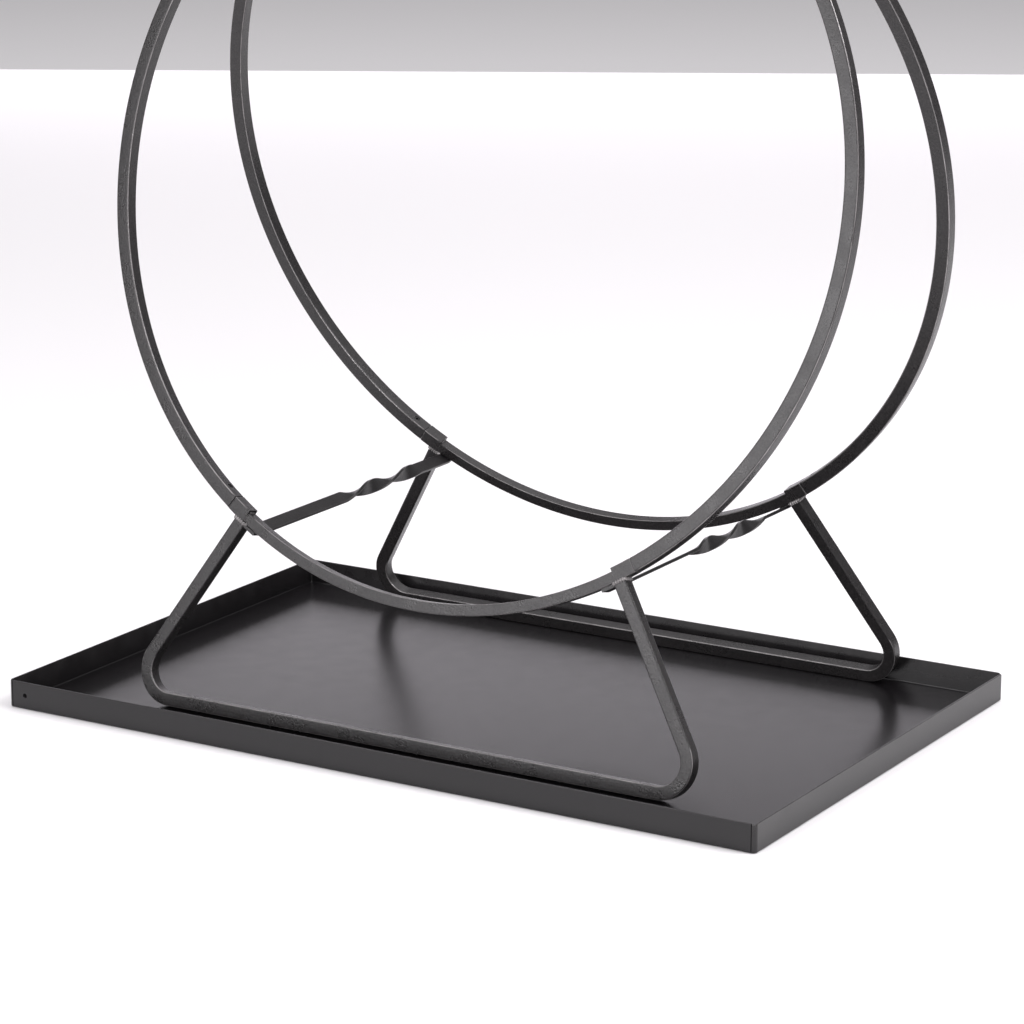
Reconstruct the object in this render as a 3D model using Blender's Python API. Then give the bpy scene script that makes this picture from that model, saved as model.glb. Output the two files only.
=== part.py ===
"""Firewood log rack: two leaning steel hoops on bent bar feet, standing loose in a lipped sheet tray.

Metres, +Z up, X along the hoops' width, Y from front to rear, the tray's underside at z = 0.
"""
import math

import bmesh
import bpy
from mathutils import Matrix, Vector

# ---- tray -------------------------------------------------------------------------------------
TRAY_LENGTH = 0.760          # along X, outside the lips
TRAY_FRONT_ROOM = 0.0619     # floor left free in front of the front foot
TRAY_REAR_ROOM = 0.0059      # floor left free behind the rear foot
TRAY_HEIGHT = 0.025          # underside to the top of the lips
TRAY_SHEET = 0.0015          # sheet thickness
TRAY_CORNER = 0.004          # outer radius of the upright corners
TRAY_FOLD = 0.0012           # rounding along the fold under the lips
HOLE_RADIUS = 0.0022         # small hole in the front lip
HOLE_INSET = 0.018           # hole centre from the tray's left end

# ---- frames: one front, one rear, each flat and leaning inwards -------------------------------
LEAN = math.radians(13.0)    # each frame's lean from upright
RING_RADIUS = 0.371          # outer radius of the hoop
RING_LIFT = 0.122            # hoop's lowest point above the foot's underside, along the frame
TOP_GAP = 0.0006             # between the two hoops where they meet at the top

FOOT_BAR = 0.012             # square bar of the feet
FOOT_BEND = 0.0324           # outer radius of the foot's bends
LEG_LEAN = math.radians(31.5)  # leg from upright, in the frame's plane, pointing at the hoop's centre

ARC_BAR = 0.010              # square bar of the lower arcs
TUBE = 0.013                 # square tube of the upper arcs
TUBE_WALL = 0.0015
EDGE = 0.0010                # chamfer along the bars' and tubes' long edges
TUBE_EDGE_INSIDE = 0.0004    # the same inside the tubes

# ---- joints between the arcs ------------------------------------------------------------------
BLOCK_LENGTH = 0.020         # joint block along the arc
BLOCK_OVERHANG = 0.003       # part of it on the lower arc's side of the leg's centre line
SPIGOT_LENGTH = 0.028        # peg that enters the tube
SPIGOT_PLAY = 0.0007         # clearance between peg and tube, each side
SEAM = 0.0004                # gap between block and tube end
COUPLER_LENGTH = 0.026       # top coupler's block along X
SCREW_RADIUS = 0.0025        # grub screw
SCREW_LENGTH = 0.0060
SCREW_PLAY = 0.0003          # radial clearance round a grub screw
SCREW_SINK = 0.0003          # screw face below the tube's face
SCREW_SPOT = 0.014           # screw's centre from the tube's end
SOCKET_RADIUS = 0.0014       # hexagon socket, to its corners
SOCKET_DEPTH = 0.0025

# ---- twisted crossbars ------------------------------------------------------------------------
FLAT_WIDTH = 0.0127          # half an inch
FLAT_THICKNESS = 0.003
FLAT_EDGE = 0.0005           # chamfer along the flat bar's edges
FLAT_BEND = 0.008            # radius at which its end pads are set to the hoops' lean
TWIST_START = 0.445          # share of the straight bar between the end bends, from the front
TWIST_END = 0.845
TWIST_TURNS = -1.0           # minus rolls the bar the other way round as it goes to the rear

GAP = 0.0003                 # between pieces that touch

# ---- fineness ---------------------------------------------------------------------------------
HOOP_STEPS = 44
LOWER_STEPS = 16
BEND_STEPS = 8
TWIST_STEPS = 40
ROUND_STEPS = 24
SET_STEPS = 3                # bends at the crossbars' pads, and the joint pegs
BLOCK_STEPS = 2
PEG_STEPS = 8                # top coupler's pegs
CORNER_STEPS = 4
FOLD_STEPS = 2
SMOOTH_BELOW = math.radians(30.0)  # edges sharper than this stay crisp

# ---- worked out from the sizes above ----------------------------------------------------------
RING_CENTRE = RING_LIFT + RING_RADIUS
RING_TOP = RING_LIFT + 2 * RING_RADIUS
RING_MIDDLE = RING_RADIUS - TUBE / 2
FRAME_SPREAD = RING_TOP * math.sin(LEAN) + TUBE / 2 * math.cos(LEAN) + TOP_GAP / 2
FOOT_REACH = FRAME_SPREAD + FOOT_BAR / 2 * math.cos(LEAN) - EDGE * math.sin(LEAN)
TRAY_WIDTH = TRAY_FRONT_ROOM + 2 * FOOT_REACH + TRAY_REAR_ROOM + 2 * TRAY_SHEET
RACK_SHIFT = (TRAY_FRONT_ROOM - TRAY_REAR_ROOM) / 2
FRAME_BASE = TRAY_SHEET + GAP + (FOOT_BAR / 2 - EDGE) * math.sin(LEAN)
BEND_MIDDLE = FOOT_BEND - FOOT_BAR / 2
BEND_X = ((RING_CENTRE - FOOT_BEND) * math.sin(LEG_LEAN) - BEND_MIDDLE) / math.cos(LEG_LEAN)
BLOCK_START = LEG_LEAN - BLOCK_OVERHANG / RING_MIDDLE
BLOCK_END = BLOCK_START + BLOCK_LENGTH / RING_MIDDLE
TUBE_START = BLOCK_END + SEAM / RING_MIDDLE
TUBE_END = math.pi - math.asin((COUPLER_LENGTH / 2 + GAP) / (RING_RADIUS - TUBE))
SPIGOT_ANGLE = SPIGOT_LENGTH / RING_MIDDLE
SPIGOT_SIZE = TUBE - 2 * TUBE_WALL - 2 * SPIGOT_PLAY

SIDES = {"front": -1, "rear": 1}
HANDS = {"left": -1, "right": 1}


def clear_scene():
    for obj in list(bpy.data.objects):
        bpy.data.objects.remove(obj, do_unlink=True)


def material(name, colour, roughness, metallic):
    made = bpy.data.materials.new(name)
    made.use_nodes = True
    shader = made.node_tree.nodes["Principled BSDF"]
    shader.inputs["Base Color"].default_value = (*colour, 1.0)
    shader.inputs["Roughness"].default_value = roughness
    shader.inputs["Metallic"].default_value = metallic
    return made


def add_object(name, bm, look):
    """Closes off a bmesh as a named object with outward normals and its material."""
    bmesh.ops.recalc_face_normals(bm, faces=bm.faces[:])
    mesh = bpy.data.meshes.new(name)
    bm.to_mesh(mesh)
    bm.free()
    mesh.shade_smooth()
    mesh.set_sharp_from_angle(angle=SMOOTH_BELOW)
    obj = bpy.data.objects.new(name, mesh)
    bpy.context.scene.collection.objects.link(obj)
    obj.data.materials.append(look)
    return obj


def place_on_frame(obj, side, swapped=False):
    """Stands a piece drawn in a frame's own plane (X across, Y inwards, Z up the plane) in its frame.

    A swapped piece is given a half turn in the plane, from the left hand to the right.
    """
    turn = math.pi if (side > 0) != swapped else 0.0
    obj.rotation_euler = (LEAN if swapped else -LEAN, 0.0, turn)
    obj.location = (0.0, RACK_SHIFT + side * FRAME_SPREAD, FRAME_BASE)


def frame_matrix(side):
    turn = math.pi if side > 0 else 0.0
    place = Matrix.Translation((0.0, RACK_SHIFT + side * FRAME_SPREAD, FRAME_BASE))
    return place @ Matrix.Rotation(turn, 4, "Z") @ Matrix.Rotation(-LEAN, 4, "X")


def square_outline(width, depth, edge):
    """Eight corners of a rectangle with chamfered corners."""
    w, d = width / 2, depth / 2
    corners = [(w - edge, -d), (w, -d + edge), (w, d - edge), (w - edge, d)]
    return corners + [(-x, -y) for x, y in corners]


def section_face(bm, outline, centre, across, inwards):
    """One flat face from an outline, its first direction along `across`, its second along `inwards`."""
    verts = [bm.verts.new(centre + across * x + inwards * y) for x, y in outline]
    return [bm.faces.new(verts)]


def ring_section(bm, outer, inner, centre, across, inwards):
    """The hollow section of a tube: faces between an outer and an inner outline."""
    rims = []
    for outline in (outer, inner):
        rims.append([bm.verts.new(centre + across * x + inwards * y) for x, y in outline])
    count = len(outer)
    faces = []
    for i in range(count):
        j = (i + 1) % count
        faces.append(bm.faces.new((rims[0][i], rims[0][j], rims[1][j], rims[1][i])))
    return faces


def is_first_section(faces):
    """True for a section that nothing has been drawn from yet; it stays as the start cap."""
    return all(set(edge.link_faces) <= set(faces) for face in faces for edge in face.edges)


def pull(bm, faces, step):
    """Extrudes an end face by a vector and returns the new end."""
    first = is_first_section(faces)
    grown = bmesh.ops.extrude_face_region(bm, geom=faces)["geom"]
    verts = [item for item in grown if isinstance(item, bmesh.types.BMVert)]
    bmesh.ops.translate(bm, verts=verts, vec=step)
    if not first:
        bmesh.ops.delete(bm, geom=faces, context="FACES")
    return [item for item in grown if isinstance(item, bmesh.types.BMFace)]


def swing(bm, faces, centre, axis, angle, steps):
    """Spins an end face round an axis and returns the new end."""
    first = is_first_section(faces)
    turned = bmesh.ops.spin(bm, geom=faces, cent=centre, axis=axis, angle=angle, steps=steps, use_merge=False)
    if not first:
        bmesh.ops.delete(bm, geom=faces, context="FACES")
    return [item for item in turned["geom_last"] if isinstance(item, bmesh.types.BMFace)]


def end_verts(faces):
    found = []
    for face in faces:
        for vert in face.verts:
            if vert not in found:
                found.append(vert)
    return found


def ring_point(angle, radius):
    """Point of the hoop in its frame's plane; the angle runs from the lowest point towards +X."""
    return Vector((radius * math.sin(angle), 0.0, RING_CENTRE - radius * math.cos(angle)))


def ring_outward(angle):
    return Vector((math.sin(angle), 0.0, -math.cos(angle)))


def arc_section(bm, size, angle, radius, hollow=False):
    """A bar or tube section set across the hoop at an angle, its middle at a radius."""
    across, inwards = ring_outward(angle), Vector((0.0, 1.0, 0.0))
    centre = ring_point(angle, radius)
    if not hollow:
        return section_face(bm, square_outline(size, size, EDGE), centre, across, inwards)
    inside = size - 2 * TUBE_WALL
    outer = square_outline(size, size, EDGE)
    inner = square_outline(inside, inside, TUBE_EDGE_INSIDE)
    return ring_section(bm, outer, inner, centre, across, inwards)


def swing_on_ring(bm, faces, angle, steps):
    return swing(bm, faces, Vector((0.0, 0.0, RING_CENTRE)), Vector((0.0, -1.0, 0.0)), angle, steps)


def cut(obj, cutters):
    """Takes closed cutter pieces out of an object and keeps them as hidden, wire-drawn objects."""
    for cutter in cutters:
        boolean = obj.modifiers.new("cut_" + cutter.name, "BOOLEAN")
        boolean.operation = "DIFFERENCE"
        boolean.solver = "EXACT"
        boolean.object = cutter
        cutter.hide_render = True
        cutter.display_type = "WIRE"


def rod(name, radius, length, centre, axis, look, sides=ROUND_STEPS):
    """A plain closed cylinder centred on a point, along an axis."""
    bm = bmesh.new()
    turn = axis.to_track_quat("Z", "Y").to_matrix().to_4x4()
    bmesh.ops.create_cone(bm, cap_ends=True, segments=sides, radius1=radius, radius2=radius,
                          depth=length, matrix=Matrix.Translation(centre) @ turn)
    return add_object(name, bm, look)


def make_tray(look, cutter_look):
    bm = bmesh.new()
    bmesh.ops.create_cube(bm, size=1.0)
    bmesh.ops.scale(bm, vec=(TRAY_LENGTH, TRAY_WIDTH, TRAY_HEIGHT), verts=bm.verts[:])
    bmesh.ops.translate(bm, vec=(0.0, 0.0, TRAY_HEIGHT / 2), verts=bm.verts[:])
    upright = [e for e in bm.edges if abs(e.verts[0].co.z - e.verts[1].co.z) > TRAY_SHEET]
    bmesh.ops.bevel(bm, geom=upright, offset=TRAY_CORNER, segments=CORNER_STEPS, profile=0.5,
                     affect="EDGES", material=-1)
    under = [e for e in bm.edges if max(v.co.z for v in e.verts) < TRAY_SHEET / 2]
    bmesh.ops.bevel(bm, geom=under, offset=TRAY_FOLD, segments=FOLD_STEPS, profile=0.5,
                     affect="EDGES", material=-1)
    bmesh.ops.recalc_face_normals(bm, faces=bm.faces[:])
    top = [f for f in bm.faces if min(v.co.z for v in f.verts) > TRAY_HEIGHT - TRAY_SHEET / 2]
    bmesh.ops.inset_region(bm, faces=top, thickness=TRAY_SHEET, use_even_offset=True)
    floor = [f for f in top if f.is_valid]
    pull(bm, floor, Vector((0.0, 0.0, TRAY_SHEET - TRAY_HEIGHT)))
    tray = add_object("tray", bm, look)
    lip = Vector((HOLE_INSET - TRAY_LENGTH / 2, TRAY_SHEET / 2 - TRAY_WIDTH / 2, TRAY_HEIGHT / 2))
    drill = rod("drill_tray", HOLE_RADIUS, 4 * TRAY_SHEET, lip, Vector((0.0, 1.0, 0.0)), cutter_look)
    cut(tray, [drill])


def make_foot(name, side, look):
    """Leg, bend, bottom bar, bend and leg, drawn in one go along the bar."""
    bm = bmesh.new()
    start = ring_point(-LEG_LEAN, RING_RADIUS + GAP)
    across = Vector((math.cos(LEG_LEAN), 0.0, -math.sin(LEG_LEAN)))
    outline = square_outline(FOOT_BAR, FOOT_BAR, EDGE)
    end = section_face(bm, outline, start, across, Vector((0.0, 1.0, 0.0)))
    left_hub = Vector((-BEND_X, 0.0, FOOT_BEND))
    right_hub = Vector((BEND_X, 0.0, FOOT_BEND))
    leg_length = (left_hub - across * BEND_MIDDLE - start).length
    turn = math.pi / 2 + LEG_LEAN
    axis = Vector((0.0, -1.0, 0.0))
    end = pull(bm, end, ring_outward(-LEG_LEAN) * leg_length)
    end = swing(bm, end, left_hub, axis, turn, BEND_STEPS)
    end = pull(bm, end, right_hub - left_hub)
    end = swing(bm, end, right_hub, axis, turn, BEND_STEPS)
    pull(bm, end, -ring_outward(LEG_LEAN) * leg_length)
    place_on_frame(add_object(name, bm, look), side)


def make_lower_arc(name, side, look):
    bm = bmesh.new()
    reach = BLOCK_START - GAP / RING_MIDDLE
    end = arc_section(bm, ARC_BAR, -reach, RING_RADIUS - ARC_BAR / 2)
    swing_on_ring(bm, end, 2 * reach, LOWER_STEPS)
    place_on_frame(add_object(name, bm, look), side)


def make_joint(name, side, hand, look):
    """Block over the leg's top with a peg that enters the upper arc."""
    bm = bmesh.new()
    end = arc_section(bm, TUBE, -BLOCK_START, RING_MIDDLE)
    end = swing_on_ring(bm, end, BLOCK_START - BLOCK_END, BLOCK_STEPS)
    bmesh.ops.inset_region(bm, faces=end, thickness=(TUBE - SPIGOT_SIZE) / 2, use_even_offset=True)
    swing_on_ring(bm, end, -SPIGOT_ANGLE, SET_STEPS)
    joint = add_object(name, bm, look)
    place_on_frame(joint, side, swapped=hand > 0)
    return joint


def make_hoop(name, side, hand, look):
    """Half of the hoop's upper part, a square tube from the joint block to the top coupler."""
    bm = bmesh.new()
    end = arc_section(bm, TUBE, hand * TUBE_START, RING_MIDDLE, hollow=True)
    swing_on_ring(bm, end, hand * (TUBE_END - TUBE_START), HOOP_STEPS)
    hoop = add_object(name, bm, look)
    place_on_frame(hoop, side)
    return hoop


def coupler_outline():
    """Corners of the coupler's end face: both tubes' end outlines and the wedge between them."""
    corners = []
    for side in SIDES.values():
        place = frame_matrix(side)
        for across, up in ((-TUBE / 2, RING_TOP - TUBE), (TUBE / 2, RING_TOP - TUBE),
                           (-TUBE / 2, RING_TOP), (TUBE / 2, RING_TOP)):
            corners.append(place @ Vector((0.0, across, up)))
    front, rear = corners[:4], corners[4:]
    return [front[0], front[1], rear[1], rear[0], rear[2], rear[3], front[3], front[2]]


def make_coupler(look):
    """Block across both hoops' tops with four pegs, one into each upper arc."""
    bm = bmesh.new()
    shift = Vector((-COUPLER_LENGTH / 2, 0.0, 0.0))
    face = bm.faces.new([bm.verts.new(point + shift) for point in coupler_outline()])
    pull(bm, [face], Vector((COUPLER_LENGTH, 0.0, 0.0)))
    coupler = add_object("top_coupler", bm, look)
    reach = COUPLER_LENGTH / 2 / RING_MIDDLE + SPIGOT_ANGLE
    for word, side in SIDES.items():
        bm = bmesh.new()
        end = arc_section(bm, SPIGOT_SIZE, math.pi - reach, RING_MIDDLE)
        swing_on_ring(bm, end, 2 * reach, PEG_STEPS)
        peg = add_object("peg_" + word, bm, look)
        place_on_frame(peg, side)
        peg.hide_render = True
        peg.display_type = "WIRE"
        joined = coupler.modifiers.new("join_" + word, "BOOLEAN")
        joined.operation = "UNION"
        joined.solver = "EXACT"
        joined.object = peg
    return coupler


def make_screw(name, side, angle, pieces, look, cutter_look):
    """A grub screw on the hoop's inner side, and the hole it sits in through the tube and the peg."""
    inward = -ring_outward(angle)
    face = RING_RADIUS - TUBE
    middle = ring_point(angle, face + SCREW_SINK + SCREW_LENGTH / 2)
    screw = rod(name, SCREW_RADIUS, SCREW_LENGTH, middle, inward, look)
    place_on_frame(screw, side)
    mouth = ring_point(angle, face + SCREW_SINK)
    key = rod("key_" + name, SOCKET_RADIUS, 2 * SOCKET_DEPTH, mouth, inward, cutter_look, sides=6)
    place_on_frame(key, side)
    cut(screw, [key])
    low = face - 2 * TUBE_WALL
    deep = face + SCREW_SINK + SCREW_LENGTH + GAP
    bore = rod("bore_" + name, SCREW_RADIUS + SCREW_PLAY, deep - low, ring_point(angle, (low + deep) / 2),
               inward, cutter_look)
    place_on_frame(bore, side)
    for piece in pieces:
        cut(piece, [bore])


def twist(bm, end, axis, length):
    """Draws a flat bar on towards the rear while rolling it round its own axis."""
    step = Vector((0.0, length / TWIST_STEPS, 0.0))
    roll = Matrix.Rotation(2 * math.pi * TWIST_TURNS / TWIST_STEPS, 3, "Y")
    for _ in range(TWIST_STEPS):
        end = pull(bm, end, step)
        bmesh.ops.rotate(bm, cent=axis, matrix=roll, verts=end_verts(end))
    return end


def make_crossbar(name, hand, look):
    """Flat bar under both hoops: a pad set to the lean at each end and one full twist between."""
    angle = hand * (LEG_LEAN - (FOOT_BAR / 2 + GAP + FLAT_WIDTH / 2) / RING_RADIUS)
    place = frame_matrix(SIDES["front"])
    turn = place.to_3x3()
    pad = turn @ Vector((0.0, ARC_BAR, 0.0))
    outward = turn @ ring_outward(angle)
    across = turn @ Vector((math.cos(angle), 0.0, math.sin(angle)))
    radius = RING_RADIUS + GAP + FLAT_THICKNESS / 2
    start = place @ (ring_point(angle, radius) - Vector((0.0, ARC_BAR / 2, 0.0)))
    bm = bmesh.new()
    end = section_face(bm, square_outline(FLAT_WIDTH, FLAT_THICKNESS, FLAT_EDGE), start, across, outward)
    end = pull(bm, end, pad)
    level = Vector((1.0, 0.0, 0.0))
    hub = start + pad + level.cross(pad.normalized()) * FLAT_BEND
    end = swing(bm, end, hub, level, LEAN, SET_STEPS)
    reach = 2 * (RACK_SHIFT - hub.y)
    end = pull(bm, end, Vector((0.0, reach * TWIST_START, 0.0)))
    end = twist(bm, end, hub - Vector((0.0, 0.0, FLAT_BEND)), reach * (TWIST_END - TWIST_START))
    end = pull(bm, end, Vector((0.0, reach * (1.0 - TWIST_END), 0.0)))
    end = swing(bm, end, hub + Vector((0.0, reach, 0.0)), level, LEAN, SET_STEPS)
    pull(bm, end, Vector((0.0, pad.y, -pad.z)))
    add_object(name, bm, look)


def build():
    clear_scene()
    coat = (0.028, 0.028, 0.030)
    tray_look = material("tray_coat", (0.020, 0.020, 0.022), 0.38, 0.0)
    foot_look = material("foot_coat", coat, 0.45, 0.0)
    arc_look = material("arc_coat", coat, 0.45, 0.0)
    joint_look = material("joint_coat", (0.032, 0.032, 0.034), 0.42, 0.0)
    hoop_look = material("hoop_coat", (0.034, 0.034, 0.036), 0.45, 0.0)
    cross_look = material("crossbar_coat", coat, 0.50, 0.0)
    screw_look = material("screw_black_oxide", (0.05, 0.05, 0.05), 0.35, 1.0)
    cutter_look = material("cutter", (0.5, 0.5, 0.5), 0.5, 0.0)

    make_tray(tray_look, cutter_look)
    coupler = make_coupler(joint_look)
    for word, side in SIDES.items():
        make_foot("foot_" + word, side, foot_look)
        make_lower_arc("lower_arc_" + word, side, arc_look)
        for hand_word, hand in HANDS.items():
            label = word + "_" + hand_word
            drawn = -side * hand
            joint = make_joint("joint_" + label, side, drawn, joint_look)
            hoop = make_hoop("hoop_" + label, side, drawn, hoop_look)
            low = drawn * (TUBE_START + SCREW_SPOT / RING_MIDDLE)
            high = drawn * (TUBE_END - SCREW_SPOT / RING_MIDDLE)
            make_screw("screw_" + label + "_low", side, low, [joint, hoop], screw_look, cutter_look)
            make_screw("screw_" + label + "_top", side, high, [coupler, hoop], screw_look, cutter_look)
    for hand_word, hand in HANDS.items():
        make_crossbar("crossbar_" + hand_word, hand, cross_look)


build()
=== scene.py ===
# %% [markdown]
# # A firewood log rack in powder-coated steel
# The real rack is two flat steel frames that lean on each other like the sides of a tent. Each
# frame is a round hoop on a foot bent from square bar, and the pair stands loose in a shallow
# tray. We could paint the plain engineering solids, but their corners are cut with one flat
# chamfer, and black steel is seen mostly by the light that runs along its rounded corners. So
# each piece is made again with round corners, weld beads and a textured coat, on the same
# sizes as its solid.

# %% Load the fixed frame
import math

import bmesh
import bpy
from mathutils import Matrix, Vector


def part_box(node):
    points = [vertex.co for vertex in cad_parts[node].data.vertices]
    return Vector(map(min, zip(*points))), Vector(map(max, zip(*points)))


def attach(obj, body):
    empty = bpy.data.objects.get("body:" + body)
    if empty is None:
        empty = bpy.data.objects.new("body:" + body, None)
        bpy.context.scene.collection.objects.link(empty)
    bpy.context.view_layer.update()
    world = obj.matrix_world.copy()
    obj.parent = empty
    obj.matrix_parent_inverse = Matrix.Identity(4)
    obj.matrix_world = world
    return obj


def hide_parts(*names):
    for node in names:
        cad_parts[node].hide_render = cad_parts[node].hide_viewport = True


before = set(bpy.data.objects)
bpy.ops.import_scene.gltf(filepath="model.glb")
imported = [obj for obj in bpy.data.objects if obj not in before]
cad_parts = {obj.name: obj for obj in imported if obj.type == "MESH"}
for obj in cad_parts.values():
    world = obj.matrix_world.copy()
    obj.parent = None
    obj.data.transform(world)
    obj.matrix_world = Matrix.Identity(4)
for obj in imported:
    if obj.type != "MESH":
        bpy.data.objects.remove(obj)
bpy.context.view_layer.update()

# %% [markdown]
# ## The camera
# A long lens from over three metres keeps the tray's long edges nearly parallel, as a
# catalogue picture does. A short lens close by would splay them. The hoops run out of the top
# of the frame.

# %% Camera
VIEW_PLACE = (1.6707, -2.7476, 1.0143)
VIEW_AZIMUTH = math.radians(31.226)
VIEW_TILT = math.radians(14.564)
SENSOR_WIDTH = 36.0
FOCAL_LENGTH = 130.43


def add_object(name, data):
    """Puts an object into the scene, at the origin."""
    made = bpy.data.objects.new(name, data)
    bpy.context.scene.collection.objects.link(made)
    return made


camera = add_object("camera", bpy.data.cameras.new("camera"))
camera.location = VIEW_PLACE
camera.rotation_euler = (math.pi / 2 - VIEW_TILT, 0.0, VIEW_AZIMUTH)
camera.data.sensor_width = SENSOR_WIDTH
camera.data.lens = FOCAL_LENGTH
bpy.context.scene.camera = camera
print("camera to the tray's centre:", round(camera.location.length, 3), "m")

# %% [markdown]
# ## The sizes
# These are the sizes of the solids. Each is written once, and a piece that sits on another
# takes its place from the same value, so that nothing drifts apart. The twist's start and end
# are shares of the crossbar's straight part, and its turns are whole turns, right-handed when
# positive.

# %% Sizes, in metres
LEAN = math.radians(13.0)
RING_RADIUS = 0.371
RING_LIFT = 0.122
LEG_LEAN = math.radians(31.5)
FOOT_BAR = 0.012
FOOT_BEND = 0.0324
ARC_BAR = 0.010
TUBE = 0.013
TUBE_WALL = 0.0015
BLOCK_LENGTH = 0.020
BLOCK_OVERHANG = 0.003
PEG_LENGTH = 0.028
PEG_PLAY = 0.0007
SEAM = 0.0004
COUPLER_LENGTH = 0.026
SCREW_RADIUS = 0.0025
SCREW_LENGTH = 0.006
SCREW_SINK = 0.0003
SCREW_PLAY = 0.0003
SCREW_SPOT = 0.014
SOCKET_RADIUS = 0.0014
SOCKET_DEPTH = 0.0025
FLAT_WIDTH = 0.0127
FLAT_THICKNESS = 0.003
FLAT_BEND = 0.008
TWIST_START = 0.445
TWIST_END = 0.845
TWIST_TURNS = -1.0
TRAY_LENGTH = 0.760
TRAY_HEIGHT = 0.025
TRAY_SHEET = 0.0015
TRAY_FRONT_ROOM = 0.0619
TRAY_REAR_ROOM = 0.0059
TOP_GAP = 0.0006
GAP = 0.0003
CHAMFER = 0.0010

RING_CENTRE = RING_LIFT + RING_RADIUS
RING_TOP = RING_LIFT + 2 * RING_RADIUS
RING_MIDDLE = RING_RADIUS - TUBE / 2
FRAME_SPREAD = RING_TOP * math.sin(LEAN) + TUBE / 2 * math.cos(LEAN) + TOP_GAP / 2
FRAME_BASE = TRAY_SHEET + GAP + (FOOT_BAR / 2 - CHAMFER) * math.sin(LEAN)
RACK_SHIFT = (TRAY_FRONT_ROOM - TRAY_REAR_ROOM) / 2
BLOCK_START = LEG_LEAN - BLOCK_OVERHANG / RING_MIDDLE
BLOCK_END = BLOCK_START + BLOCK_LENGTH / RING_MIDDLE
TUBE_START = BLOCK_END + SEAM / RING_MIDDLE
TUBE_END = math.pi - math.asin((COUPLER_LENGTH / 2 + GAP) / (RING_RADIUS - TUBE))
PEG_ANGLE = PEG_LENGTH / RING_MIDDLE
PEG_SIZE = TUBE - 2 * TUBE_WALL - 2 * PEG_PLAY
SIDES = {"front": -1, "rear": 1}
HANDS = {"left": -1, "right": 1}

# How close two heights are to count as level, and how sharp an edge is to count as a corner.
NEAR = 1e-6
SHARP = math.radians(50)

X, Y, Z = Vector((1, 0, 0)), Vector((0, 1, 0)), Vector((0, 0, 1))
print("feet stand", round(2 * FRAME_SPREAD, 4), "m apart, middle to middle")

# %% [markdown]
# ## Standing a frame up
# Each frame is flat, so it is far easier to draw it lying in its own plane and then stand it
# up. The rear frame is the front one turned half round, which is how two equal weldments lean
# on each other.


# %% From the frame's plane to its place
def stand_up(side):
    """Matrix that stands a frame's plane in its place: X across, Y inwards, Z up the plane."""
    place = Matrix.Translation((0.0, RACK_SHIFT + side * FRAME_SPREAD, FRAME_BASE))
    half_turn = Matrix.Rotation(math.pi if side > 0 else 0.0, 4, "Z")
    return place @ half_turn @ Matrix.Rotation(-LEAN, 4, "X")


def station(point, x_axis, y_axis, z_axis):
    """Matrix whose columns are three directions and a place."""
    turn = Matrix((x_axis, y_axis, z_axis)).transposed().to_4x4()
    return Matrix.Translation(point) @ turn


def around(hub, angle, radius):
    """Station round a hub, from straight down towards +X: local X is outwards, local Z along."""
    out = Vector((math.sin(angle), 0.0, -math.cos(angle)))
    return station(hub + out * radius, out, Y, out.cross(Y))


def on_ring(angle, radius=RING_MIDDLE):
    """Station on a hoop, at an angle from its lowest point."""
    return around(Vector((0.0, 0.0, RING_CENTRE)), angle, radius)


def arc(first, last, steps, radius=RING_MIDDLE):
    """Stations along the hoop between two angles."""
    return [on_ring(first + (last - first) * i / steps, radius) for i in range(steps + 1)]


def four_corners():
    """Label, side, and hand in the frame's own plane, for each corner of the rack."""
    for word, side in SIDES.items():
        for hand_word, hand in HANDS.items():
            yield word + "_" + hand_word, side, -side * hand


print("front frame stands at y =", round(stand_up(-1).translation.y, 4))

# %% [markdown]
# ## Drawing a bar through stations
# Bent bar, rolled tube, twisted flat and weld bead are all one section carried along a path.
# We could use a curve with a bevel, but its corners would shear on the twist. Carrying a face
# from station to station with extrude keeps the section true, and the last face is always the
# cap.


# %% Carry a section along
def flat_section(bm, width, depth, at):
    """One rectangular face set on a station."""
    shape = at @ Matrix.Diagonal((width, depth, 1.0, 1.0))
    made = bmesh.ops.create_grid(bm, x_segments=1, y_segments=1, size=0.5, matrix=shape)
    return list({face for vert in made["verts"] for face in vert.link_faces})


def round_section(bm, radius, at, sides=12):
    """One round face set on a station."""
    made = bmesh.ops.create_circle(bm, cap_ends=True, segments=sides, radius=radius, matrix=at)
    return list({face for vert in made["verts"] for face in vert.link_faces})


def wall_section(bm, width, wall, at):
    """The section of a square tube: the border left when the middle of a square is removed."""
    face = flat_section(bm, width, width, at)
    rim = bmesh.ops.inset_region(bm, faces=face, thickness=wall, use_even_offset=True,
                                 use_boundary=True)["faces"]
    bmesh.ops.delete(bm, geom=face, context="FACES")
    return rim


def extrude(bm, faces):
    """Extrudes faces in place, and returns the new faces and their vertices."""
    grown = bmesh.ops.extrude_face_region(bm, geom=faces)["geom"]
    return ([item for item in grown if isinstance(item, bmesh.types.BMFace)],
            [item for item in grown if isinstance(item, bmesh.types.BMVert)])


def carry(bm, faces, stations, closed_start=True):
    """Extrudes faces from station to station, and returns the caps, first and last."""
    start, here = faces, stations[0]
    for there in stations[1:]:
        grown, verts = extrude(bm, faces)
        bmesh.ops.transform(bm, matrix=there @ here.inverted(), verts=verts)
        if faces is not start or not closed_start:
            bmesh.ops.delete(bm, geom=faces, context="FACES")
        faces, here = grown, there
    bmesh.ops.recalc_face_normals(bm, faces=bm.faces[:])
    return start + faces if closed_start else faces


trial = bmesh.new()
carry(trial, flat_section(trial, TUBE, TUBE, on_ring(0.0)), arc(0.0, 0.2, 2))
print("a trial bar has", len(trial.faces), "faces, and its outside faces out:",
      trial.calc_volume(signed=True) > 0)
trial.free()

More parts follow.
